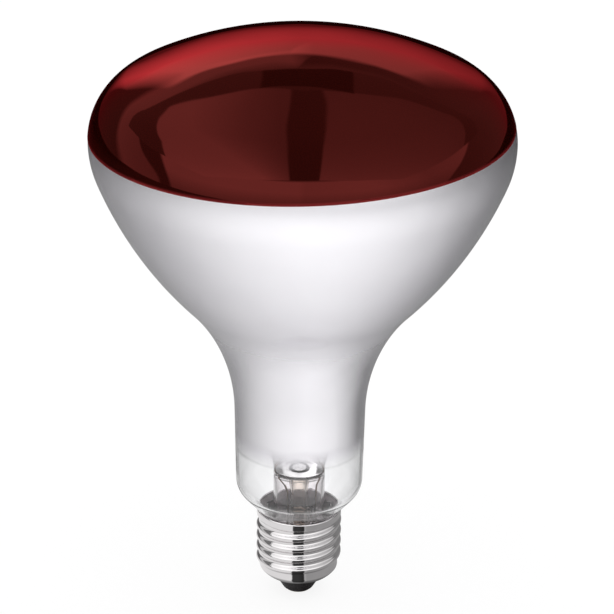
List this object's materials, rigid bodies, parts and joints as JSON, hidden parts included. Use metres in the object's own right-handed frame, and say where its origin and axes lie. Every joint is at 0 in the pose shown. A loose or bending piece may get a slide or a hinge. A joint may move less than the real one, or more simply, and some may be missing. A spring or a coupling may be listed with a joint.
{
  "type": "infrared heat lamp bulb",
  "caption": "Reflector infrared heat lamp: blown glass bulb with a red front, a mirrored bowl and a clear neck that shows the stem, on a screw cap with a round thread.",
  "frame": {"origin": "centre of the flat face of the contact at the bottom of the cap", "axes": "+Z along the lamp's axis, from the contact towards the red front; +X to the right as the picture shows it"},
  "size_m": [0.1251, 0.125, 0.1791],
  "materials": {
    "clear_glass": "polished",
    "mirror_film": "polished",
    "red_lacquer": "polished",
    "nickel_plate": "polished",
    "black_glass": "gloss",
    "contact_brass": "satin",
    "solder": "satin",
    "cement": "matte",
    "lead_wire": "satin",
    "support_wire": "satin",
    "tungsten": "satin",
    "hook_wire": "satin"
  },
  "bodies": {
    "root": {"glass_envelope": "clear_glass", "mirror_coating": "mirror_film", "red_coating": "red_lacquer", "cap_shell": "nickel_plate", "cap_insulator": "black_glass", "centre_contact": "contact_brass", "contact_solder": "solder", "rim_solder": "solder", "basing_cement": "cement", "stem_flare": "clear_glass", "exhaust_tube": "clear_glass", "support_rod": "clear_glass", "live_lead": "lead_wire", "neutral_lead": "lead_wire", "live_support_wire": "support_wire", "neutral_support_wire": "support_wire", "filament": "tungsten", "filament_hooks": "hook_wire"}
  },
  "joints": []
}
